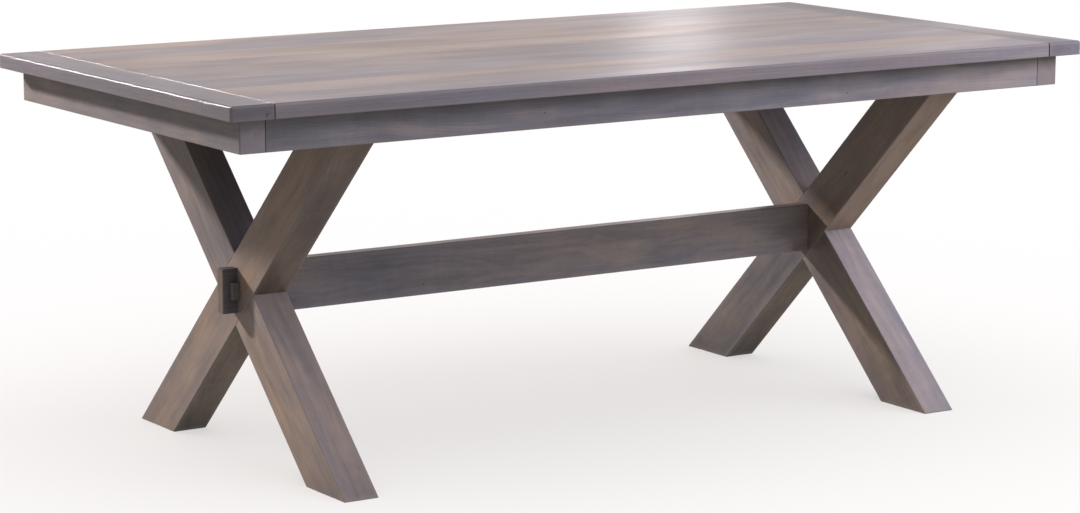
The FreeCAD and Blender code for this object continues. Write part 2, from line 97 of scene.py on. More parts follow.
def ringAround(sides, radii, acrossLines, deepLines, soft, groove=None):
    # One ring per station: four flats joined by quarter ellipses. sides gives each station's low and high
    # side across and low and high side deep. An ellipse's centre lies its radius in from the uncut sides,
    # so the ellipse shrinks where a side is set back; soft is the least that it shrinks to.
    uncut = [sides[:, 0].min(), sides[:, 1].max(), sides[:, 2].min(), sides[:, 3].max()]
    corners = ((1, 2), (1, 3), (0, 3), (0, 2))  # the sides that meet, anticlockwise
    centres = []
    for radius, pair in zip(radii, corners):
        signs = [1 if side in (1, 3) else -1 for side in pair]
        centres.append([sign * np.minimum(sign * uncut[side] - radius, sign * sides[:, [side]] - soft)
                        for side, sign in zip(pair, signs)])
    across = []
    deep = []
    for turn, pair in enumerate(corners):
        before = centres[turn - 1]
        after = centres[turn]
        if turn % 2 == 0:  # the flat before this corner lies across
            lines = acrossLines
            sunk = np.zeros((1, len(lines)))
            if groove and groove["side"] == pair[1]:
                lines, sunk = grooveLines(lines, groove["low"], groove["high"])
                sunk = groove["cut"][:, None] * sunk * groove["depth"]
            side = sides[:, [pair[1]]]
            inwards = 1 if pair[1] == 2 else -1
            if turn == 2:
                lines = lines[::-1]
                sunk = sunk[:, ::-1]
            low = np.minimum(before[0], after[0])
            high = np.maximum(before[0], after[0])
            across.append(np.clip(lines, low, high))
            deep.append(side + inwards * sunk)
        else:
            lines = deepLines if turn == 1 else deepLines[::-1]
            low = np.minimum(before[1], after[1])
            high = np.maximum(before[1], after[1])
            deep.append(np.clip(lines, low, high))
            across.append(np.broadcast_to(sides[:, [pair[0]]], deep[-1].shape))
        swing = np.linspace(turn - 1, turn, carving["arcPoints"]) * np.pi / 2
        across.append(after[0] + np.abs(sides[:, [pair[0]]] - after[0]) * np.cos(swing))
        deep.append(after[1] + np.abs(sides[:, [pair[1]]] - after[1]) * np.sin(swing))
    return np.concatenate(across, axis=1), np.concatenate(deep, axis=1)


def grooveLines(lines, low, high):
    # Lines with a square groove let in between low and high: each wall is a doubled line, once outside the
    # groove and once sunk
    left = lines[lines < low]
    floor = lines[(lines > low) & (lines < high)]
    right = lines[lines > high]
    across = np.concatenate([left, [low, low], floor, [high, high], right])
    sunk = np.concatenate([0 * left, [0, 1], 0 * floor + 1, [1, 0], 0 * right])
    return across, sunk


def dent(x, y, z, radius, depth, stain=1):
    # Where it is and its size, in millimetres, and how dark it is
    return {"at": (x, y, z), "radius": radius, "depth": depth, "stain": stain}


def pitMarks(piece):
    # Extra lines through each dent, in the timber's own directions
    axes = np.array(piece["axes"], dtype=float)
    marks = [[], [], []]
    for spot in piece.get("dents", ()):
        local = axes @ (np.array(spot["at"]) * mm - piece["middle"])
        for lines, middle in zip(marks, local):
            lines.append(middle + np.linspace(-1, 1, carving["dentLines"]) * spot["radius"] * mm)
    return marks


def ripple(points, waves):
    # Hand-planed unevenness: the mean of a few long sine waves over the timber
    return np.sin(points @ waves["runs"].T + waves["starts"]).mean(axis=-1)


def wavesFor(seed, lengths, count=7):
    # Wave directions with wavelengths about these in the three directions, in millimetres
    chance = np.random.default_rng(seed)
    runs = chance.normal(size=(count, 3)) * 2 * np.pi / (np.array(lengths) * mm)
    return {"runs": runs, "starts": chance.uniform(0, 2 * np.pi, count)}


def placeObject(name, data):
    thing = bpy.data.objects.new(name, data)
    bpy.context.collection.objects.link(thing)
    return thing


def makeTimber(name, rings, piece, material, hole=None):
    # Places the rings, planes and dents them, and closes the ends. Ripple moves a point along its normal, and
    # a dent moves it in by its depth times a bowl: with the distance from the dent's middle as a share of its
    # radius, the bowl is one less that share squared, all squared
    grain = np.stack(rings, axis=-1)
    axes = np.array(piece["axes"], dtype=float)
    hand = np.sign(np.linalg.det(axes))
    points = grain @ axes + piece["middle"]

    gaps = np.stack([reach(grain) for reach in piece["faces"]])
    edgeGap = np.partition(gaps, 1, axis=0)[1]  # a point's nearest face is its own
    wear = np.exp(-np.maximum(edgeGap, 0) / carving["wearReach"])

    # lines that end in one place at a corner look further round the ring for its direction
    around = np.zeros_like(points)
    for reach in range(1, carving["lookRound"] + 1):
        stuck = np.linalg.norm(around, axis=-1, keepdims=True) < carving["noLength"]
        around = np.where(stuck, np.roll(points, -reach, axis=1) - np.roll(points, reach, axis=1), around)
    normals = np.cross(around, np.gradient(points, axis=0)) * hand
    normals /= np.maximum(np.linalg.norm(normals, axis=-1, keepdims=True), carving["noArea"])
    sample = points if piece.get("sharedRipple") else grain
    lift = ripple(sample, piece["waves"]) * piece["rippleHeight"] * mm
    points = points + normals * lift[..., None] * piece.get("rippleWay", 1)

    # dents are stained dark, and the joints' bevels hold painted shade of the gap with stain
    pit = piece.get("joint", np.zeros(lift.shape))
    for spot in piece.get("dents", ()):
        gap = np.linalg.norm(points - np.array(spot["at"]) * mm, axis=-1) / (spot["radius"] * mm)
        bowl = np.clip(1 - gap ** 2, 0, 1) ** 2
        points = points - normals * (bowl * spot["depth"] * mm)[..., None]
        pit = np.maximum(pit, bowl * spot["stain"])

    index = np.arange(lift.size).reshape(lift.shape)
    beside = np.roll(index, -1, axis=1)
    quads = np.stack([index[:-1], beside[:-1], beside[1:], index[1:]], axis=-1)
    keep = np.ones(quads.shape[:2], dtype=bool)
    walls = np.empty((0, 4), dtype=int)
    if hole:
        keep, walls = hole(index, keep)
    quads = np.concatenate([quads[keep], walls])
    faces = quads.tolist() + [index[0, ::-1].tolist(), index[-1].tolist()]
    if hand < 0:
        faces = [face[::-1] for face in faces]

    mesh = bpy.data.meshes.new(name)
    mesh.from_pydata(points.reshape(-1, 3).tolist(), [], faces)
    moved = grain + np.array(piece["grainShift"]) * mm
    # each timber's own tone, with the painted light and shade added below
    tone = np.zeros_like(moved) + piece["tone"]
    if "endTone" in piece:
        tone = tone + piece["endGrain"][:, None, None] * np.array(piece["endTone"])
    # painted light and shade: faces that look up get more of this tone, faces that look down less
    if "upTone" in piece:
        tone = tone + normals[..., 2:] * np.array(piece["upTone"])
    # painted shade near the floor, deepest on faces that look down
    if "paintedFloorShade" in piece:
        down = np.clip(-normals[..., 2], 0, 1)
        tone[..., 0] -= piece["paintedFloorShade"](points) * (carving["paintedFloorShadeAllRound"] + down)
    for key, kind, field, values in (("grain", "FLOAT_VECTOR", "vector", moved),
                                     ("tone", "FLOAT_VECTOR", "vector", tone),
                                     ("wear", "FLOAT", "value", wear), ("pit", "FLOAT", "value", pit)):
        layer = mesh.attributes.new(key, kind, "POINT")
        layer.data.foreach_set(field, values.astype(np.float32).ravel())
    shell = bmesh.new()
    shell.from_mesh(mesh)
    bmesh.ops.remove_doubles(shell, verts=shell.verts, dist=carving["mergeUnder"])
    bmesh.ops.dissolve_degenerate(shell, edges=shell.edges, dist=carving["dissolveUnder"])
    shell.to_mesh(mesh)
    shell.free()
    mesh.polygons.foreach_set("use_smooth", np.ones(len(mesh.polygons), dtype=bool))
    mesh.set_sharp_from_angle(angle=carving["smoothUnder"])

    timber = placeObject(name, mesh)
    mesh.materials.append(material)
    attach(timber, piece.get("body", "table"))
    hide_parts(piece["node"])


def boxFaces(box, glued=()):
    # Distance in from each face of a box, in the timber's own directions; a glued face counts as far off
    faces = []
    for way in range(3):
        for end in range(2):
            if (way, end) in glued:
                continue
            sign = 1 - 2 * end
            faces.append(lambda grain, way=way, end=end, sign=sign: sign * (grain[..., way] - box[way][end]))
    return faces


def withCaps(along, piece):
    # Repeats the first and last station for the rings that close the ends, and gives every station's inset
    rings = np.array(piece.get("capRings", carving["capRings"])) * mm
    repeats = np.ones(len(along), dtype=int)
    repeats[[0, -1]] += len(rings)
    return np.repeat(along, repeats), np.concatenate([rings[::-1], np.zeros(len(along)), rings])


def straightTimber(name, piece, material):
    # A straight stick. endEase says how its ends meet the low and high side across and the low and high side
    # deep: by a radius, or for each end by a bevel's reach along the stick and its depth.
    (startS, stopS), (lowT, highT), (lowD, highD) = box = piece["box"]
    marks = pitMarks(piece)
    largest = max(np.max(ease) for ease in piece["endEase"]) * mm
    reaches = [reach * mm for ease in piece["endEase"] if np.ndim(ease) for reach, depth in ease]
    ends = np.concatenate([largest * np.array(carving["stickStations"]), reaches])
    along = endLines(startS, stopS, piece["alongStep"] * mm, ends, marks[0])
    groove = piece.get("groove")
    if groove:
        cut = np.ones(len(along))
        if groove["stop"]:
            along, cut = grooveLines(along, -groove["stop"], groove["stop"])
        groove["cut"] = withCaps(cut, piece)[0]
    along, capInset = withCaps(along, piece)
    fromEnd = np.minimum(along - startS, stopS - along)
    piece["endGrain"] = np.clip(1 - fromEnd / max(largest, carving["endReach"]), 0, 1)
    if "rightTone" in piece:  # painted light, which grows with the fourth power along the stick
        share = (along - startS) / (stopS - startS)
        piece["tone"] = np.array(piece["tone"]) + share[:, None, None] ** 4 * np.array(piece["rightTone"])
    setBacks = []
    for ease in piece["endEase"]:
        if np.ndim(ease):
            reach, depth = np.array(ease)[(along > (startS + stopS) / 2).astype(int)].T * mm
            setBack = np.maximum(1 - fromEnd / reach, 0) * depth
        else:
            setBack = roundOver(fromEnd, max(ease * mm, carving["sharpest"]))
        setBacks.append(setBack + capInset)
    sides = np.stack([lowT + setBacks[0], highT - setBacks[1],
                      lowD + setBacks[2], highD - setBacks[3]], axis=1)
    radii = np.array(piece["edgeRadii"]) * mm
    widest = max(radii.max(), largest)
    acrossLines = flatLines(lowT, highT, piece["acrossStep"] * mm, (widest, widest), marks[1])
    margins = (radii[[0, 3]].max(), radii[[1, 2]].max())
    deepLines = flatLines(lowD, highD, piece["deepStep"] * mm, margins, marks[2])
    across, deep = ringAround(sides, radii, acrossLines, deepLines, carving["softest"], groove)
    rings = (np.broadcast_to(along[:, None], across.shape), across, deep)
    piece["joint"] = np.zeros(across.shape)  # painted shade of the gap lies dark in these bevels, with the stain that collects there
    for side in piece.get("stainedAndShadedJoints", ()):
        sunk = np.abs((across if side < 2 else deep) - box[1 + side // 2][side % 2])
        bevel = setBacks[side] - capInset
        inBevel = (bevel > 0)[:, None] & (sunk < bevel.max() + carving["bevelDepth"])
        piece["joint"] = np.maximum(piece["joint"], inBevel)
    piece["faces"] = boxFaces(box, piece.get("glued", ()))
    makeTimber(name, rings, piece, material)


# Colours and nodes

def linearColour(hexValue):
    # sRGB to linear: a twelfth near black, and the power 2.4 above it
    srgb = np.array([int(hexValue[start:start + 2], 16) for start in (1, 3, 5)]) / 255
    linear = np.where(srgb <= 0.04045, srgb / 12.92, ((srgb + 0.055) / 1.055) ** 2.4)
    return (*linear.tolist(), 1.0)


def fillInputs(node, values):
    # Joins other nodes' outputs to a node's inputs, or sets fixed values on them
    for key, value in values.items():
        if isinstance(value, bpy.types.NodeSocket):
            node.id_data.links.new(value, node.inputs[key])
        else:
            node.inputs[key].default_value = value


def addNode(tree, kind, links=None, out=0, **settings):
    # A node with its own settings and inputs, of which one output comes back
    node = tree.nodes.new("ShaderNode" + kind)
    for setting, value in settings.items():
        setattr(node, setting, value)
    fillInputs(node, links or {})
    return node.outputs[out]


def newMaterial(name):
    # A material, what adds nodes to it, and its shader
    material = bpy.data.materials.new(name)
    material.use_nodes = True
    tree = material.node_tree
    return material, partial(addNode, tree), tree.nodes["Principled BSDF"]


def stretched(long, wide):
    # A noise's scale along the grain and across it, from its size in millimetres
    return 1000 / long, 1000 / wide, 1000 / wide


# Stained soft maple, sanded and lacquered: a satin film over patchy grey stain, with warm and cool streaks
# along the grain, faint growth rings, darker dents and paler rubbed edges, and the painted light and shade
# that each timber's tone carries.
# The fibre is about 0.3 mm wide on the real wood and is drawn at 1.5 mm so that it shows.

topMaple = {
    "name": "stained soft maple, satin lacquer, top",
    "cool": "#5a565b", "warm": "#6b5b52", "dark": "#463b38", "pale": "#796d67",
    "worn": "#6f6663", "pit": "#1d1917",
    "band": (1100, 90, 2), "streak": (300, 20, 4), "blotch": (520, 120, 2), "fibre": (48, 1.5, 2),
    "curl": (16, 70, 2), "pore": (11, 0.9, 1),
    "wander": (600, 240, 2), "wanderBy": 0.022, "ringPitch": 6.0, "ringTaper": 0.012, "ringDepth": 0.05,
    "edgeCool": 0.1, "warmFrom": (0.4, 0.78), "mottle": 0.8, "streaks": 0.36,
    "roughness": (0.43, 0.365), "burnish": 0.04, "bumpHeight": 0.06,
}
frameMaple = {
    "name": "stained soft maple, satin lacquer, frame",
    "cool": "#5a585d", "warm": "#756455", "dark": "#43382f", "pale": "#807266",
    "worn": "#746a66", "pit": "#1d1816",
    "band": (700, 100, 2), "streak": (230, 15, 4), "blotch": (150, 62, 3), "fibre": (44, 1.5, 2),
    "curl": (15, 55, 2), "pore": (11, 0.9, 1),
    "wander": (420, 150, 2), "wanderBy": 0.026, "ringPitch": 5.0, "ringTaper": 0.02, "ringDepth": 0.045,
    "edgeCool": 0.08, "warmFrom": (0.28, 0.86), "mottle": 0.6, "streaks": 0.36,
    "roughness": (0.48, 0.4), "burnish": 0.06, "bumpHeight": 0.1,
}
# what both have alike: shares of each noise, and the noise levels between which a mark comes up
stain = {
    "noiseRoughness": 0.58, "bandWarmth": 0.62, "blotchWarmth": 0.62, "edgeFade": 0.3,
    "darkFrom": (0.5, 0.72), "paleFrom": (0.47, 0.28), "poreFrom": (0.62, 0.74), "poreDepth": 0.16,
    "plainLight": 0.75, "fibreDepth": 0.3, "curlDepth": 0.2, "ringUneven": 2.5,
    "glossFrom": (0.3, 0.7), "dentRoughness": 0.3, "ringRelief": 0.12, "bumpStrength": 0.6, "ior": 1.5,
}


def stainedMaple(finish):
    material, add, shader = newMaterial(finish["name"])
    grain = add("Attribute", attribute_name="grain", out="Vector")
    tone = add("Attribute", attribute_name="tone", out="Vector")
    wear = add("Attribute", attribute_name="wear", out="Fac")
    pit = add("Attribute", attribute_name="pit", out="Fac")
    lighter = add("SeparateXYZ", {0: tone}, out="X")
    warmer = add("SeparateXYZ", {0: tone}, out="Y")

    # the fibres wander sideways a little as they run along
    long, wide, detail = finish["wander"]
    sized = add("VectorMath", {0: grain, 1: stretched(long, wide)}, operation="MULTIPLY")
    drift = add("TexNoise", {"Vector": sized, "Scale": 1.0, "Detail": detail}, out="Color")
    centred = add("VectorMath", {0: drift, 1: (0.5, 0.5, 0.5)}, operation="SUBTRACT")
    by = finish["wanderBy"] * 2
    wandering = add("VectorMath", {0: centred, 1: (0, by, by), 2: grain}, operation="MULTIPLY_ADD")

    # noises stretched along the grain, each from its length and width in millimetres
    noises = {}
    for key in ("band", "streak", "blotch", "fibre", "curl", "pore"):
        long, wide, detail = finish[key]
        sized = add("VectorMath", {0: wandering, 1: stretched(long, wide)}, operation="MULTIPLY")
        noises[key] = add("TexNoise", {"Vector": sized, "Scale": 1.0, "Detail": detail,
                                       "Roughness": stain["noiseRoughness"]})

    # growth rings round the pith, which lies off the timber; the trunk tapers, so the rings arch along a face
    pitch = finish["ringPitch"] * mm
    section = add("VectorMath", {0: wandering, 1: (0, 1, 1)}, operation="MULTIPLY")
    radius = add("VectorMath", {0: section}, operation="LENGTH", out="Value")
    alongGrain = add("SeparateXYZ", {0: wandering})
    rings = add("Math", {0: alongGrain, 1: finish["ringTaper"], 2: radius}, operation="MULTIPLY_ADD")
    rings = add("Math", {0: noises["blotch"], 1: stain["ringUneven"] * pitch, 2: rings},
                operation="MULTIPLY_ADD")
    rings = add("Math", {0: rings, 1: 2 * np.pi / pitch}, operation="MULTIPLY")
    rings = add("Math", {0: rings}, operation="SINE")

    # warm and cool: broad bands and blotches, moved by each timber's tone with its painted light and shade,
    # and cooler beside its edges
    edge = add("Math", {0: wear, 1: stain["edgeFade"]}, operation="POWER")
    mixed = warmer
    for field, amount in ((noises["band"], stain["bandWarmth"]), (noises["blotch"], stain["blotchWarmth"]),
                          (edge, -finish["edgeCool"])):
        mixed = add("Math", {0: field, 1: amount, 2: mixed}, operation="MULTIPLY_ADD")
    coolest, warmest = finish["warmFrom"]
    warmth = add("MapRange", {"Value": mixed, "From Min": coolest, "From Max": warmest})
    colour = linearColour(finish["cool"])
    layers = [(warmth, "warm")]

    # dark and pale streaks
    for key in ("dark", "pale"):
        nothing, full = stain[key + "From"]
        amount = add("MapRange", {"Value": noises["streak"], "From Min": nothing, "From Max": full,
                                  "To Max": finish["streaks"]})
        layers.append((amount, key))
    for amount, key in layers:
        colour = add("Mix", {0: amount, 6: colour, 7: linearColour(finish[key])}, data_type="RGBA", out=2)

    # fibre, rings, curl, blotch and the tone with its painted light and shade set how light it is, and pores
    # are short dark dashes
    light = stain["plainLight"] - finish["mottle"] / 2
    for field, amount in ((noises["fibre"], stain["fibreDepth"]), (rings, finish["ringDepth"]),
                          (noises["blotch"], finish["mottle"]), (noises["curl"], stain["curlDepth"]),
                          (lighter, 1.0)):
        light = add("Math", {0: field, 1: amount, 2: light}, operation="MULTIPLY_ADD")
    nothing, full = stain["poreFrom"]
    pores = add("MapRange", {"Value": noises["pore"], "From Min": nothing, "From Max": full,
                             "To Max": stain["poreDepth"]})
    light = add("Math", {0: light, 1: pores}, operation="SUBTRACT")
    colour = add("HueSaturation", {"Value": light, "Color": colour})

    # rubbed edges, broken up by the streaks, and dark dents and joint bevels, the bevels with painted shade
    # of the gap
    rubbed = add("Math", {0: wear, 1: noises["streak"]}, operation="MULTIPLY")
    for amount, key in ((rubbed, "worn"), (pit, "pit")):
        colour = add("Mix", {0: amount, 6: colour, 7: linearColour(finish[key])}, data_type="RGBA", out=2)

    # the film is glossier where the wood is lighter and where it is rubbed, and dull in the dents
    dull, glossy = finish["roughness"]
    nothing, full = stain["glossFrom"]
    rough = add("MapRange", {"Value": noises["blotch"], "From Min": nothing, "From Max": full,
                             "To Min": dull, "To Max": glossy})
    for field, amount in ((pit, stain["dentRoughness"]), (wear, -finish["burnish"])):
        rough = add("Math", {0: field, 1: amount, 2: rough}, operation="MULTIPLY_ADD")
    height = add("Math", {0: rings, 1: stain["ringRelief"], 2: noises["fibre"]}, operation="MULTIPLY_ADD")
    bump = add("Bump", {"Height": height, "Distance": finish["bumpHeight"] * mm,
                        "Strength": stain["bumpStrength"]})
    fillInputs(shader, {"Base Color": colour, "Roughness": rough, "Normal": bump, "IOR": stain["ior"]})
    return material


topWood = stainedMaple(topMaple)
frameWood = stainedMaple(frameMaple)
print("stained maple ready")


# Top: eight boards and two breadboards

top = {
    "edgeRadius": 5, "underRadius": 2, "cornerRadius": 6, "seamEase": 1.8, "glueEase": 0.08,
    # bevels by reach along the timber and depth: on the boards' upper faces, on the top's front and back
    # edges at each end, and on the breadboards
    "seamBevel": (1.45, 1.9), "leftBevel": (1.0, 2.0), "rightBevel": (1.2, 4.0),
    "breadboardBevels": {"left": (2.0, 0.8), "right": (4.0, 1.2)},
    "boardCount": 8,
    "sideways": 60, "fromPith": (90, 220),  # where in the log the boards were cut
    # each board from the front: how much lighter and how much warmer
    "boardTones": ((0.12, -0.08), (0.07, 0.04), (0.03, -0.1), (-0.02, -0.06),
                   (-0.03, 0.1), (0.0, 0.08), (0.02, -0.06), (0.0, 0.0)),
    "breadboardTones": {"left": (0.2, -0.48), "right": (0.0, -0.2)},
    "breadboardUpTones": {"left": (-0.46, 0.16, 0), "right": (-0.3, 0.04, 0)},  # painted light and shade: what their upper faces add
    "endTones": {"left": (-0.58, -0.1, 0), "right": (-0.13, -0.18, 0)},  # and their end grain
    "planing": {"waves": wavesFor(3, (700, 260, 900)), "rippleHeight": 0.1, "rippleWay": (0, 0, 1),
                "sharedRipple": True},
    "capStep": 0.7,  # between the rings that close a breadboard's ends
    "dents": {
        "left": (dent(-905, -496, 754, 2.6, 2.2),
                 dent(-914, -496, 743, 2.4, 2.0),
                 dent(-916, -496, 739, 1.9, 1.4),
                 dent(-986, -372, 762, 10, 1.6, 0.25),
                 dent(-986, -388, 761, 12, 2.0, 0.25),
                 dent(-986, -404, 762, 9, 1.3, 0.25)),
        "right": (dent(952, -496, 748, 2.0, 1.5),
                  dent(986, 214, 750, 2.4, 1.6)),
    },
}
lengthwise = ((1, 0, 0), (0, 1, 0), (0, 0, 1))  # along X, across Y, deep Z
crosswise = ((0, 1, 0), (1, 0, 0), (0, 0, 1))  # along Y, across X, deep Z
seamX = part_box("breadboard_right")[0].x
chance = np.random.default_rng(11)
logReach = 9000  # how far along the log a timber may come from, in millimetres


def cutFromLog(setting):
    # Where in the log a timber was cut: along it, sideways, and out from the pith, in millimetres
    sideways = setting["sideways"]
    return (chance.uniform(-logReach, logReach), chance.uniform(-sideways, sideways),
            chance.uniform(*setting["fromPith"]))


def pick(setting, *names):
    return [setting[name] for name in names]


def pieceName(node):
    return node.replace("_", " ").title().replace(" ", "")


for number in range(1, top["boardCount"] + 1):
    node = "top_board_%d" % number
    low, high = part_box(node)
    isFront = number == 1
    isBack = number == top["boardCount"]
    cornerBevels = [top["leftBevel"], top["rightBevel"]]
    over, under, ease, glue = pick(top, "edgeRadius", "underRadius", "seamEase", "glueEase")
    piece = {
        "node": node, "slot": "top_maple", "axes": lengthwise, "middle": np.zeros(3),
        "box": ((-seamX, seamX), (low.y, high.y), (low.z, high.z)),
        # corners: back under, back over, front over, front under
        "edgeRadii": (under if isBack else glue, over if isBack else glue,
                      over if isFront else glue, under if isFront else glue),
        "endEase": (cornerBevels if isFront else 0, cornerBevels if isBack else 0, ease,
                    [top["seamBevel"]] * 2),
        "stainedAndShadedJoints": [0] * isFront + [1] * isBack,
        "glued": [(0, 0), (0, 1)] + ([] if isFront else [(1, 0)]) + ([] if isBack else [(1, 1)]),
        "alongStep": 22, "acrossStep": 9, "deepStep": 9, **top["planing"],
        "grainShift": cutFromLog(top), "tone": (*top["boardTones"][number - 1], 0),
    }
    straightTimber("topBoard%d" % number, piece, topWood)

for side, sign in (("left", -1), ("right", 1)):
    node = "breadboard_" + side
    low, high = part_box(node)
    over, under, corner, ease = pick(top, "edgeRadius", "underRadius", "cornerRadius", "seamEase")
    bevel = [top["breadboardBevels"][side]] * 2
    isRight = sign > 0
    piece = {
        "node": node, "slot": "top_maple", "axes": crosswise, "middle": np.zeros(3),
        "box": ((low.y, high.y), (low.x, high.x), (low.z, high.z)),
        "edgeRadii": (under, over, ease, ease) if isRight else (ease, ease, over, under),
        "endEase": (bevel, corner, under, over) if isRight else (corner, bevel, under, over),
        "stainedAndShadedJoints": [0] if isRight else [1],
        "alongStep": 14, "acrossStep": 8, "deepStep": 5, **top["planing"],
        "grainShift": cutFromLog(top), "dents": top["dents"][side],
        "tone": (*top["breadboardTones"][side], 0), "upTone": top["breadboardUpTones"][side],
        "endTone": top["endTones"][side],
        "capRings": np.arange(top["capStep"], (high.z - low.z) / mm / 2 - (over + under) / 2, top["capStep"]),
    }
    straightTimber("breadboard" + side.capitalize(), piece, topWood)
print("top ready")


# Aprons: thick ones across the ends, thin ones between them, grooved inside for the buttons

apron = {
    "edgeRadius": 1.5, "cornerRadius": 3, "seamBevel": (1.2, 3.0), "sharpEase": 0.3,
    "grooveDrop": 7.0, "grooveWidth": 8.5, "grooveDepth": 9.5,
    "waveLengths": (420, 90, 90), "rippleHeight": 0.16, "endTone": (-0.16, 0.04, 0),
    "sideways": 60, "fromPith": (70, 160),
    "rightTone": {"side_apron_front": (0.22, 0.34, 0)},  # painted light: what its right end adds, where the lamps on the right fall
    "tones": {"end_apron_left": (0.34, -0.25), "end_apron_right": (0.0, -0.16),
              "side_apron_front": (-0.02, -0.38), "side_apron_back": (0.0, -0.16)},
    "dents": {"side_apron_front": (dent(-310, -460, 700, 2.0, 1.2),
                                   dent(404, -460, 688, 1.8, 1.2))},
}
acrossTheEnd = ((0, 1, 0), (0, 0, 1), (1, 0, 0))  # along Y, across Z, deep X
alongTheSide = ((1, 0, 0), (0, 0, 1), (0, 1, 0))  # along X, across Z, deep Y

for node, tone in apron["tones"].items():
    low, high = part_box(node)
    isEnd = node.startswith("end")
    outsideLow = node.endswith(("left", "front"))  # the outer face is the low one in depth
    edge, corner, bevel, sharp = pick(apron, "edgeRadius", "cornerRadius", "seamBevel", "sharpEase")
    outerEnd = corner if isEnd else [bevel] * 2
    grooveTop = high.z - apron["grooveDrop"] * mm
    sizes = {way: (getattr(low, way), getattr(high, way)) for way in "xyz"}
    bottomEnd = edge if isEnd else sharp
    piece = {
        "node": node, "slot": "frame_maple", "axes": acrossTheEnd if isEnd else alongTheSide,
        "middle": np.zeros(3), "box": [sizes[way] for way in ("yzx" if isEnd else "xzy")],
        # corners: low face at the top, high face at the top, high face below, low face below
        "edgeRadii": (sharp, sharp, sharp, edge) if outsideLow else (sharp, sharp, edge, sharp),
        "endEase": (bottomEnd, sharp, *((outerEnd, sharp) if outsideLow else (sharp, outerEnd))),
        "stainedAndShadedJoints": [] if isEnd else [2 if outsideLow else 3],
        "glued": [(1, 1)] if isEnd else [(0, 0), (0, 1), (1, 1)],
        "groove": {"side": 3 if outsideLow else 2, "low": grooveTop - apron["grooveWidth"] * mm,
                   "high": grooveTop, "depth": apron["grooveDepth"] * mm,
                   "stop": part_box("side_apron_back")[0].y if isEnd else None},
        "endTone": apron["endTone"],
        "alongStep": 16, "acrossStep": 5, "deepStep": 6,
        "waves": wavesFor(len(node), apron["waveLengths"]), "rippleHeight": apron["rippleHeight"],
        "grainShift": cutFromLog(apron),
        "tone": (*tone, 0), "rightTone": apron["rightTone"].get(node, (0, 0, 0)),
        "dents": apron["dents"].get(node, ()),
    }
    straightTimber(pieceName(node), piece, frameWood)
print("aprons ready")


# Legs: each station is a slanted line across the leg, level at the foot and top and along the other leg's
# edges at the crossing, where the notched half is cut back to the middle

leg = {
    "width": 102.5, "leanDegrees": 46.2, "edgeRadius": 1.8, "footRadius": 1.3,
    "alongStep": 9, "acrossStep": 6, "deepStep": 6, "notchStep": 9, "softest": 0.1,
    "footStations": (0, 0.03, 0.08, 0.16, 0.28, 0.45, 0.7, 1.0),  # shares of the foot's rounding
    "waveLengths": (420, 110, 110), "rippleHeight": 0.3, "sideways": 70, "fromPith": (40, 140),
    # each leg above the crossing and below it: how much lighter and how much warmer, partly its own tone and
    # partly painted light and shade on each half
    "tones": {"left_front_leg": ((0.08, -0.18, 0), (0.26, 0.14, 0)),
              "left_back_leg": ((0.22, 0.21, 0), (0.15, 0.09, 0)),
              "right_front_leg": ((0.14, -0.04, 0), (-0.21, 0.06, 0)),
              "right_back_leg": ((-0.1, 0.16, 0), (-0.2, -0.18, 0))},
    # painted light and shade: what the faces that look up add to that, and those that look down take off it
    "upTones": {"left_front_leg": ((0.15, -0.18, 0), (-0.08, -0.1, 0)),
                "left_back_leg": ((0.92, -0.03, 0), (0.76, -0.9, 0)),
                "right_front_leg": ((-0.36, -0.05, 0), (0.68, -0.24, 0)),
                "right_back_leg": ((-0.34, -0.9, 0), (0.3, -0.9, 0))},
    "toneBlend": 2.5,  # how quickly one passes into the other at the crossing
    # painted shade near the floor: the feet darken towards it, their undersides the most
    "paintedFloorShade": 0.5, "paintedFloorShadeReach": 60,
    "dents": {"left_front_leg": (dent(-725, 224, 508, 2.0, 1.2),),
              "left_back_leg": (dent(-725, 236, 128, 1.8, 1.0),),
              "right_back_leg": (dent(652, -144.6, 468, 2.2, 1.2),),
              "right_front_leg": (dent(652, -362.7, 123.8, 2.0, 1.2),)},
}


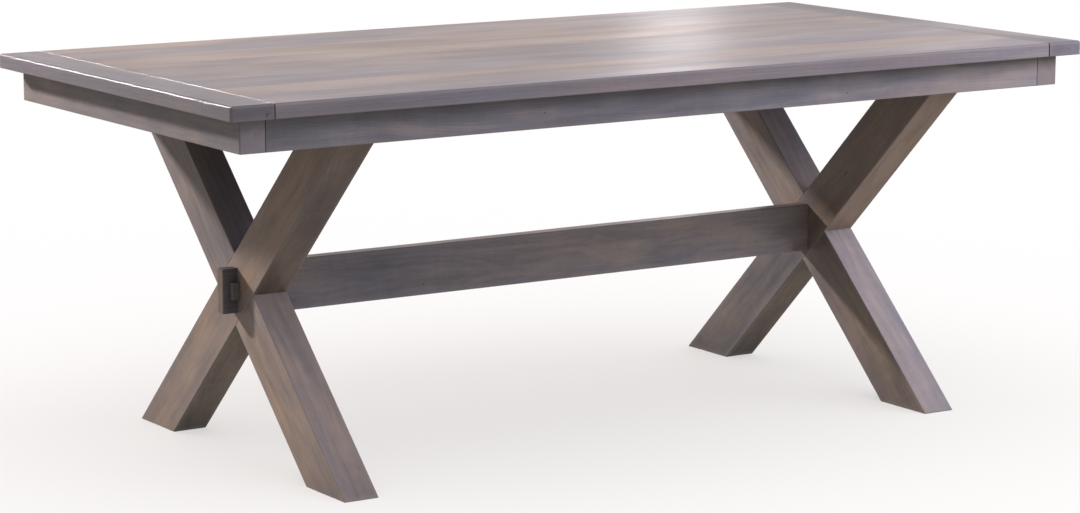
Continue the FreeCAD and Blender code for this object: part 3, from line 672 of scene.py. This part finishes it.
def legTimber(node, tone, material):
    low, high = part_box(node)
    lean = np.radians(leg["leanDegrees"])
    sway = 1 if "front" in node else -1  # which way the leg leans, going up
    halfWidth = leg["width"] / 2 * mm
    halfDeep = (high.x - low.x) / 2
    height = high.z
    piece = {
        "node": node, "slot": "frame_maple",
        "axes": ((0, sway * np.sin(lean), np.cos(lean)), (0, np.cos(lean), -sway * np.sin(lean)),
                 (1, 0, 0)),
        "middle": np.array([(low.x + high.x) / 2, 0, height / 2]),
        "waves": wavesFor(len(node) + sway, leg["waveLengths"]), "rippleHeight": leg["rippleHeight"],
        "grainShift": cutFromLog(leg), "dents": leg["dents"].get(node, ()),
        # painted shade near the floor
        "paintedFloorShade": lambda points: leg["paintedFloorShade"] * np.exp(-points[..., 2] / (leg["paintedFloorShadeReach"] * mm)),
    }
    marks = pitMarks(piece)
    endSkew = sway * np.tan(lean)
    notchSkew = -sway / np.tan(2 * lean)
    halfLength = height / 2 / np.cos(lean)
    halfNotch = halfWidth / np.sin(2 * lean)

    # distances from the end, along the leg, to where the rounded foot and top begin
    blunt = leg["footRadius"] * mm / np.tan((np.pi / 2 - lean) / 2)
    ends = blunt * np.array(leg["footStations"])
    step = leg["alongStep"] * mm
    lowerPart = endLines(-halfLength, -halfNotch, step, [])
    lowerPart = np.unique(np.concatenate([lowerPart, -halfLength + ends]))
    notchPart = endLines(-halfNotch, halfNotch, leg["notchStep"] * mm, [])
    along, capInset = withCaps(np.concatenate([lowerPart, notchPart, -lowerPart[::-1]]), piece)
    inNotch = np.zeros(len(along), dtype=bool)
    inNotch[len(lowerPart) + 1:len(lowerPart) + 1 + len(notchPart)] = True
    # own tone and painted light and shade pass from the upper half to the lower at the crossing
    below = np.clip(0.5 - leg["toneBlend"] * along / halfLength, 0, 1)[:, None, None]
    for kind, tones in (("tone", tone), ("upTone", leg["upTones"][node])):
        piece[kind] = (1 - below) * np.array(tones[0]) + below * np.array(tones[1])
    share = np.clip((np.abs(along) - halfNotch) / (halfLength - halfNotch), 0, 1)
    skew = notchSkew + share * (endSkew - notchSkew)

    # the end meets one side at a sharp angle and the other at a blunt one, and they swap at the other end
    fromEnd = halfLength - np.abs(along)
    sharp = roundOver(fromEnd, leg["footRadius"] * mm, np.pi / 2 - lean) + capInset
    wide = roundOver(fromEnd, leg["footRadius"] * mm, np.pi / 2 + lean) + capInset
    square = roundOver(fromEnd * np.cos(lean), leg["edgeRadius"] * mm) + capInset
    lowSide = np.where(along * sway < 0, sharp, wide)
    highSide = np.where(along * sway < 0, wide, sharp)
    notchLow = "front" in node  # the front leg is notched on its left half
    cutLow = np.where(inNotch & notchLow, halfDeep, square)
    cutHigh = np.where(inNotch & (not notchLow), halfDeep, square)
    sides = np.stack([-halfWidth + lowSide, halfWidth - highSide,
                      -halfDeep + cutLow, halfDeep - cutHigh], axis=1)
    radius = leg["edgeRadius"] * mm
    acrossLines = flatLines(-halfWidth, halfWidth, leg["acrossStep"] * mm, (radius, radius), marks[1])
    deepLines = flatLines(-halfDeep, halfDeep, leg["deepStep"] * mm, (radius, radius), marks[2])
    across, deep = ringAround(sides, [radius] * 4, acrossLines, deepLines, leg["softest"] * mm)
    rings = (along[:, None] + skew[:, None] * across, across, deep)

    def fromFloor(grain, sign):
        return halfLength * np.cos(lean) - sign * (grain[..., 0] - endSkew * grain[..., 1]) * np.cos(lean)
    piece["faces"] = boxFaces(((0, 0), (-halfWidth, halfWidth), (-halfDeep, halfDeep)), [(0, 0), (0, 1)])
    piece["faces"] += [lambda grain: fromFloor(grain, 1), lambda grain: fromFloor(grain, -1)]
    makeTimber(pieceName(node), rings, piece, material)


for node, tone in leg["tones"].items():
    legTimber(node, tone, frameWood)
print("legs ready")


# Stretcher with its through tenons, each pierced for a tusk key, and the keys

stretcher = {
    "edgeRadius": 2.0, "tenonHeight": 88.0, "tenonThickness": 22.0, "tenonEase": 1.5,
    "alongStep": 14, "acrossStep": 6, "deepStep": 5, "softest": 0.5,
    "shoulderLine": 0.8, "tenonLine": 30,  # lines in from the shoulder, on the body and on the tenon
    "grainShift": (2310, 12, 84), "waves": wavesFor(29, (500, 90, 90)), "rippleHeight": 0.22,
    # painted light: lighter and warmer towards the right end
    "tone": (-0.12, -0.17, 0), "rightTone": (0.08, 0.14, 0),
    "tenonTone": (-0.26, -0.1, 0), "endTone": (0.02, 0.6, 0),
    "upTone": (-0.2, 0, 0),  # painted shade: what its upper face adds
    "dents": (dent(514.7, -16, 315.4, 2.2, 1.2),
              dent(-219.5, -16, 314.3, 2.0, 1.2),
              dent(-310.6, -16, 307.1, 2.4, 1.2)),
}
key = {
    "headThickness": 17.5, "tailThickness": 15.0, "fit": 0.2, "drawRelief": 3.0, "endEase": 1.0,
    "edgeRadius": 0.6, "softest": 0.2, "step": 4,
    "grainShift": (700, 20, 60), "waveSeed": 40, "waveLengths": (120, 50, 50), "rippleHeight": 0.08,
    "tones": {"left": (-0.06, -0.34), "right": (-0.06, -0.2)}, "endTone": (-0.62, -0.2, 0),
}


def stretcherTimber(material):
    low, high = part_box("stretcher")
    keyLow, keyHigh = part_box("right_key")
    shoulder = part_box("right_front_leg")[0].x
    middle = np.array([0, 0, (low.z + high.z) / 2])
    halfWide = (high.z - low.z) / 2
    halfDeep = (high.y - low.y) / 2
    tip = high.x
    piece = {
        "node": "stretcher", "slot": "frame_maple", "axes": alongTheSide, "middle": middle,
    }
    for kind in ("waves", "rippleHeight", "grainShift", "dents", "endTone", "upTone"):
        piece[kind] = stretcher[kind]
    marks = pitMarks(piece)
    body = endLines(-shoulder, shoulder, stretcher["alongStep"] * mm, [stretcher["shoulderLine"] * mm],
                    marks[0])
    holeInner = keyLow.x - (key["fit"] + key["drawRelief"]) * mm
    holeOuter = keyHigh.x + key["fit"] * mm
    ease = stretcher["tenonEase"] * mm
    ends = tip - ease * np.array(carving["tenonStations"])
    inside = shoulder + stretcher["tenonLine"] * mm
    stations = [shoulder, inside, holeInner, (holeInner + holeOuter) / 2, holeOuter]
    tenon = np.unique(np.concatenate([stations, ends]))
    along, capInset = withCaps(np.concatenate([-tenon[::-1], body, tenon]), piece)
    inTenon = np.ones(len(along), dtype=bool)
    inTenon[1 + len(tenon):1 + len(tenon) + len(body)] = False
    piece["endGrain"] = np.clip(1 - (tip - np.abs(along)) / ease, 0, 1)
    piece["tone"] = np.array(stretcher["tone"])
    # painted light grows towards the right end, and the tenons are darker
    for share, kind in ((along / tip, "rightTone"), (inTenon, "tenonTone")):
        piece["tone"] = piece["tone"] + share[:, None, None] * np.array(stretcher[kind])
    setBack = roundOver(tip - np.abs(along), ease) + capInset
    wide = np.where(inTenon, stretcher["tenonHeight"] / 2 * mm - setBack, halfWide)
    thick = np.where(inTenon, stretcher["tenonThickness"] / 2 * mm - setBack, halfDeep)
    sides = np.stack([-wide, wide, -thick, thick], axis=1)
    radius = stretcher["edgeRadius"] * mm
    margin = halfWide - stretcher["tenonHeight"] / 2 * mm + 2 * ease
    holeHalf = (keyHigh.z - keyLow.z) / 2 + key["fit"] * mm
    acrossLines = flatLines(-halfWide, halfWide, stretcher["acrossStep"] * mm, (margin, margin),
                            [np.array([-holeHalf, holeHalf]), *marks[1]])
    deepMargin = halfDeep - stretcher["tenonThickness"] / 2 * mm + 2 * ease
    deepLines = flatLines(-halfDeep, halfDeep, stretcher["deepStep"] * mm, (deepMargin, deepMargin),
                          marks[2])
    across, deep = ringAround(sides, [radius] * 4, acrossLines, deepLines, stretcher["softest"] * mm)

    # the mortise's outer wall follows the key's taper
    taper = (key["headThickness"] - key["tailThickness"]) * mm / (keyHigh.y - keyLow.y)
    atOuter = np.isclose(np.abs(along), holeOuter)
    lean = np.where(atOuter, np.sign(along) * taper, 0)
    inwards = np.where(atOuter, -np.sign(along) * taper * keyLow.y, 0)
    rings = (along[:, None] - inwards[:, None] - lean[:, None] * deep, across, deep)

    def keyHole(index, keep):
        # quads inside the mortise go, and its four walls join the front rim to the back rim
        count = len(acrossLines)
        first = int(np.argmin(np.abs(acrossLines + holeHalf)))
        last = int(np.argmin(np.abs(acrossLines - holeHalf)))
        frontColumns = np.arange(first, last + 1)
        backStart = count + len(deepLines) + 2 * carving["arcPoints"]
        backColumns = backStart + count - 1 - frontColumns
        walls = []
        for sign in (-1, 1):
            rows = np.sort([int(np.argmin(np.abs(along - sign * edge))) for edge in (holeInner, holeOuter)])
            rows = np.arange(rows[0], rows[1] + 1)
            keep[np.ix_(rows[:-1], frontColumns[:-1])] = False
            keep[np.ix_(rows[:-1], backColumns[1:])] = False
            rims = [(rows[0], frontColumns, backColumns, 1), (rows[-1], frontColumns, backColumns, -1),
                    (rows, frontColumns[0], backColumns[0], -1), (rows, frontColumns[-1], backColumns[-1], 1)]
            for row, frontColumn, backColumn, flip in rims:
                front = index[row, frontColumn]
                back = index[row, backColumn]
                wall = np.stack([front[:-1], front[1:], back[1:], back[:-1]], axis=-1)
                walls.append(wall[:, ::flip])
        return keep, np.concatenate(walls)
    piece["faces"] = boxFaces(((-tip, tip), (-halfWide, halfWide), (-halfDeep, halfDeep)))
    makeTimber("Stretcher", rings, piece, material, keyHole)


def keyTimber(side, sign, material):
    # Along Y, across Z, deep X; the outer face tapers from the head at the front to the tail at the back
    low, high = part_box(side + "_key")
    length = high.y - low.y
    halfWide = (high.z - low.z) / 2
    inner = low.x if sign > 0 else -high.x
    piece = {
        "node": side + "_key", "slot": "frame_maple", "body": side + "_tusk",
        "axes": ((0, 1, 0), (0, 0, 1), (sign, 0, 0)),
        "middle": np.array([sign * inner, (low.y + high.y) / 2, (low.z + high.z) / 2]),
        "waves": wavesFor(key["waveSeed"] + sign, key["waveLengths"]), "rippleHeight": key["rippleHeight"],
        "grainShift": np.array(key["grainShift"]) * (sign, 1, 1),
        "tone": (*key["tones"][side], 0), "endTone": key["endTone"],
    }
    ease = key["endEase"] * mm
    step = key["step"] * mm
    along = endLines(-length / 2, length / 2, step, ease * np.array(carving["tenonStations"]))
    along, capInset = withCaps(along, piece)
    setBack = roundOver(length / 2 - np.abs(along), ease) + capInset
    piece["endGrain"] = np.clip(1 - (length / 2 - np.abs(along)) / ease, 0, 1)
    share = along / length + 0.5
    thick = (key["headThickness"] + share * (key["tailThickness"] - key["headThickness"])) * mm
    sides = np.stack([setBack - halfWide, halfWide - setBack, setBack, thick - setBack], axis=1)
    acrossLines = flatLines(-halfWide, halfWide, step, (ease, ease))
    deepLines = flatLines(0, key["tailThickness"] * mm, step, (ease, ease))
    radii = [key["edgeRadius"] * mm] * 4
    across, deep = ringAround(sides, radii, acrossLines, deepLines, key["softest"] * mm)
    rings = (np.broadcast_to(along[:, None], across.shape), across, deep)
    headThick = key["headThickness"] * mm
    piece["faces"] = boxFaces(((-length / 2, length / 2), (-halfWide, halfWide), (0, headThick)))
    makeTimber(side + "TuskKey", rings, piece, material)


stretcherTimber(frameWood)
for side, sign in (("left", -1), ("right", 1)):
    keyTimber(side, sign, frameWood)
print("stretcher and keys ready")


# Hidden woodwork and hardware keep their CAD shapes

innerMaple = {
    "name": "planed soft maple, unfinished", "early": "#b79d7d", "late": "#9a7d5d", "blotch": "#c4ad90",
    "ringPitch": 5.0, "fibre": (40, 1.6), "roughness": 0.62,
}
turnedBirch = {
    "name": "turned birch dowel, unfinished", "early": "#c9af88", "late": "#ad8f66", "blotch": "#d4bf9c",
    "ringPitch": 3.0, "fibre": (25, 1.2), "roughness": 0.58,
}
bareWood = {
    "detail": 3.0, "patchScale": 14.0, "patchFrom": (0.4, 0.7), "patchDepth": 0.6,
    "ringStretch": (0.6, 1, 1), "ringWander": 5.0, "ringDetail": 2.0, "waveRate": 20,
    "fibreDepth": 0.4, "plainLight": 0.78, "bumpHeight": 0.15, "bumpStrength": 0.6, "ior": 1.5,
}
zincSteel = {
    "name": "zinc-plated steel, bright", "colour": "#a9adb3", "dull": "#84888c", "spangle": 3.0,
    "detail": 3.0, "cloudFrom": (0.3, 0.7), "roughness": (0.28, 0.46),
}


def plainWood(finish, turn):
    # Unfinished wood: pale, dull, with ring lines and short fibres; turn brings its grain along local X
    material, add, shader = newMaterial(finish["name"])
    place = add("TexCoord", out="Object")
    grain = add("Mapping", {"Vector": place, "Rotation": turn})
    sized = add("VectorMath", {0: grain, 1: stretched(*finish["fibre"])}, operation="MULTIPLY")
    detail = bareWood["detail"]
    fibre = add("TexNoise", {"Vector": sized, "Scale": 1.0, "Detail": detail})
    patch = add("TexNoise", {"Vector": grain, "Scale": bareWood["patchScale"], "Detail": detail})
    drift = add("VectorMath", {0: grain, 1: bareWood["ringStretch"]}, operation="MULTIPLY")
    ring = add("TexWave", {"Vector": drift, "Scale": 1000 / finish["ringPitch"] / bareWood["waveRate"],
                           "Distortion": bareWood["ringWander"], "Detail": bareWood["ringDetail"]},
               bands_direction="Z", out="Fac")
    nothing, full = bareWood["patchFrom"]
    some = add("MapRange", {"Value": patch, "From Min": nothing, "From Max": full,
                            "To Max": bareWood["patchDepth"]})
    colour = linearColour(finish["early"])
    for amount, key in ((ring, "late"), (some, "blotch")):
        colour = add("Mix", {0: amount, 6: colour, 7: linearColour(finish[key])}, data_type="RGBA", out=2)
    light = add("Math", {0: fibre, 1: bareWood["fibreDepth"], 2: bareWood["plainLight"]},
                operation="MULTIPLY_ADD")
    colour = add("HueSaturation", {"Value": light, "Color": colour})
    bump = add("Bump", {"Height": fibre, "Distance": bareWood["bumpHeight"] * mm,
                        "Strength": bareWood["bumpStrength"]})
    fillInputs(shader, {"Base Color": colour, "Roughness": finish["roughness"], "Normal": bump,
                        "IOR": bareWood["ior"]})
    return material


def platedSteel(finish):
    # Zinc plate: bright, a little cloudy, with rougher patches
    material, add, shader = newMaterial(finish["name"])
    place = add("TexCoord", out="Object")
    cloud = add("TexNoise", {"Vector": place, "Scale": 1000 / finish["spangle"],
                             "Detail": finish["detail"]})
    colour = add("Mix", {0: cloud, 6: linearColour(finish["colour"]), 7: linearColour(finish["dull"])},
                 data_type="RGBA", out=2)
    nothing, full = finish["cloudFrom"]
    low, high = finish["roughness"]
    rough = add("MapRange", {"Value": cloud, "From Min": nothing, "From Max": full,
                             "To Min": low, "To Max": high})
    fillInputs(shader, {"Base Color": colour, "Roughness": rough, "Metallic": 1.0})
    return material


quarterTurn = np.pi / 2
hiddenFinishes = {
    plainWood(innerMaple, (0, 0, quarterTurn)): (
        "cleat_left", "cleat_right", "corner_block_front_left", "corner_block_front_right",
        "corner_block_back_left", "corner_block_back_right", "top_buttons"),
    plainWood(turnedBirch, (0, quarterTurn, 0)): (
        "breadboard_pegs_left", "breadboard_pegs_right", "apron_dowels"),
    platedSteel(zincSteel): ("corner_block_screws", "button_screws", "cleat_screws", "cleat_washers",
                             "leg_lag_screws", "leg_lag_washers"),
}
for material, nodes in hiddenFinishes.items():
    for node in nodes:
        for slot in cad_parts[node].material_slots:
            slot.material = material
print("hidden pieces finished")


# Studio: pale floor, soft lights and the photograph's camera

studio = {
    "floorColour": "#e9e8e6", "floorSize": 60.0, "floorRoughness": 0.9, "floorSun": 2.1,
    # each part of the world's light: its colour and strength, and where it starts and is full
    "zenith": ("#fffafc", 0.55), "horizon": ("#fdf1f0", 0.34), "below": ("#faf0e9", 0.54),
    "front": ("#e3e9fd", 0.4), "frontWay": (0.35, -0.85, 0.4),
    "zenithFrom": (0.05, 0.8), "belowFrom": (0.0, -0.12), "frontFrom": (0.2, 1.0),
    "camera": {"lens": 110.55, "sensor": 36.0, "azimuth": -32.91, "elevation": 9.91,
               "distance": 6.782, "target": (-0.023, 0, 0.333)},
    # lights on the table: where they stand and what they point at, in metres
    "lights": {
        "keyBackLeft": {"at": (-2.33, 3.42, 2.32), "aim": (-0.7, 0.1, 0.5), "size": (0.28, 0.28),
                        "watts": 152, "colour": "#fffafa", "spread": 110, "gloss": False},
        "keyGlint": {"at": (-2.33, 3.42, 2.32), "aim": (-1.1, 0, 0.76), "size": (0.56, 0.56), "watts": 2.0,
                     "colour": "#fafaff", "spread": 20, "diffuse": False},
        "fillRight": {"at": (2.0, -1.7, 1.5), "aim": (0.7, -0.2, 0.5), "size": (0.9, 0.9), "watts": 76,
                      "colour": "#eceeff", "gloss": False},
        "fillSide": {"at": (3.5, -0.8, 1.2), "aim": (0.7, 0, 0.4), "size": (0.9, 0.9), "watts": 92,
                     "colour": "#cfdbff", "gloss": False},
        "fillFront": {"at": (-0.8, -4.5, 4.5), "aim": (0, 0, 0.3), "size": (5.0, 3.0), "watts": 165,
                      "colour": "#e6eafc"},
        "stripBackRight": {"at": (2.52, 3.13, 1.3), "aim": (0, 0, 0.76), "size": (0.24, 1.8), "watts": 4.2,
                           "colour": "#fffafa"},
        "stripFarRight": {"at": (3.28, 2.53, 1.3), "aim": (0, 0, 0.76), "size": (0.5, 1.8), "watts": 1.0,
                          "colour": "#fffafa"},
        "panelBackLeft": {"at": (1.44, 3.81, 1.45), "aim": (0, 0, 0.76), "size": (0.9, 1.8), "watts": 0.9,
                          "colour": "#fffafa"},
        "wallBehind": {"at": (3.8, 5.5, 1.75), "aim": (1.0, 0, 1.0), "size": (10.0, 1.7), "watts": 57,
                       "colour": "#fff5ee"},
    },
}


def makeFloor():
    half = studio["floorSize"] / 2
    mesh = bpy.data.meshes.new("floor")
    corners = [(-half, -half, 0), (half, -half, 0), (half, half, 0), (-half, half, 0)]
    mesh.from_pydata(corners, [], [(0, 1, 2, 3)])
    floor = placeObject("floor", mesh)
    material, _, shader = newMaterial("matt pale studio floor")
    fillInputs(shader, {"Base Color": linearColour(studio["floorColour"]), "Specular IOR Level": 0.0,
                        "Roughness": studio["floorRoughness"]})
    mesh.materials.append(material)
    # the world gives the light from below, so the shade stays deep
    floor.visible_diffuse = False
    floor.visible_glossy = False
    return floor


def makeWorld():
    # Brightest overhead, darker at the horizon, warm and darker below, and a broad cool patch at the front
    world = bpy.data.worlds.new("studio")
    bpy.context.scene.world = world
    world.use_nodes = True
    add = partial(addNode, world.node_tree)
    place = add("TexCoord", out="Generated")
    height = add("SeparateXYZ", {0: place}, out="Z")
    facing = add("VectorMath", {0: place, 1: studio["frontWay"]}, operation="DOT_PRODUCT", out="Value")
    levels = {}
    for name in ("zenith", "horizon", "below", "front"):
        colour, strength = studio[name]
        levels[name] = tuple(value * strength for value in linearColour(colour)[:3]) + (1.0,)
    colour = levels["horizon"]
    for name, field, blend in (("zenith", height, "MIX"), ("below", height, "MIX"), ("front", facing, "ADD")):
        nothing, full = studio[name + "From"]
        amount = add("MapRange", {"Value": field, "From Min": nothing, "From Max": full})
        colour = add("Mix", {0: amount, 6: colour, 7: levels[name]}, data_type="RGBA",
                     blend_type=blend, out=2)
    fillInputs(world.node_tree.nodes["Background"], {"Color": colour})


def floorGroup(name, floor, state):
    # A collection of the floor alone, for lights that light only it or all but it
    group = bpy.data.collections.new(name)
    group.objects.link(floor)
    for item in group.collection_objects:
        item.light_linking.link_state = state
    return group


def makeLights(floor):
    onlyFloor = floorGroup("only the floor", floor, "INCLUDE")
    notFloor = floorGroup("all but the floor", floor, "EXCLUDE")
    for name, setting in studio["lights"].items():
        lamp = bpy.data.lights.new(name, "AREA")
        lamp.shape = "RECTANGLE"
        lamp.size, lamp.size_y = setting["size"]
        lamp.energy = setting["watts"]
        lamp.color = linearColour(setting["colour"])[:3]
        lamp.spread = np.radians(setting.get("spread", 180))
        light = placeObject(name, lamp)
        light.location = setting["at"]
        light.rotation_euler = (Vector(setting["aim"]) - light.location).to_track_quat("-Z", "Y").to_euler()
        light.visible_camera = False
        light.visible_diffuse = setting.get("diffuse", True)
        light.visible_glossy = setting.get("gloss", True)
        light.light_linking.receiver_collection = notFloor

    # the floor has its own even light, which the table doesn't shade
    sun = bpy.data.lights.new("floorSun", "SUN")
    sun.energy = studio["floorSun"]
    light = placeObject("floorSun", sun)
    light.light_linking.receiver_collection = onlyFloor
    light.light_linking.blocker_collection = onlyFloor


def makeCamera():
    setting = studio["camera"]
    turn = np.radians(setting["azimuth"])
    rise = np.radians(setting["elevation"])
    target = Vector(setting["target"])
    away = Vector((np.sin(turn) * np.cos(rise), -np.cos(turn) * np.cos(rise), np.sin(rise)))
    lens = bpy.data.cameras.new("photo camera")
    lens.lens = setting["lens"]
    lens.sensor_width = setting["sensor"]
    lens.sensor_fit = "HORIZONTAL"
    camera = placeObject("photo camera", lens)
    camera.location = target + away * setting["distance"]
    camera.rotation_euler = away.to_track_quat("Z", "Y").to_euler()
    bpy.context.scene.camera = camera


floor = makeFloor()
makeWorld()
makeLights(floor)
makeCamera()
bpy.context.scene.view_settings.view_transform = "Standard"
print("studio ready")
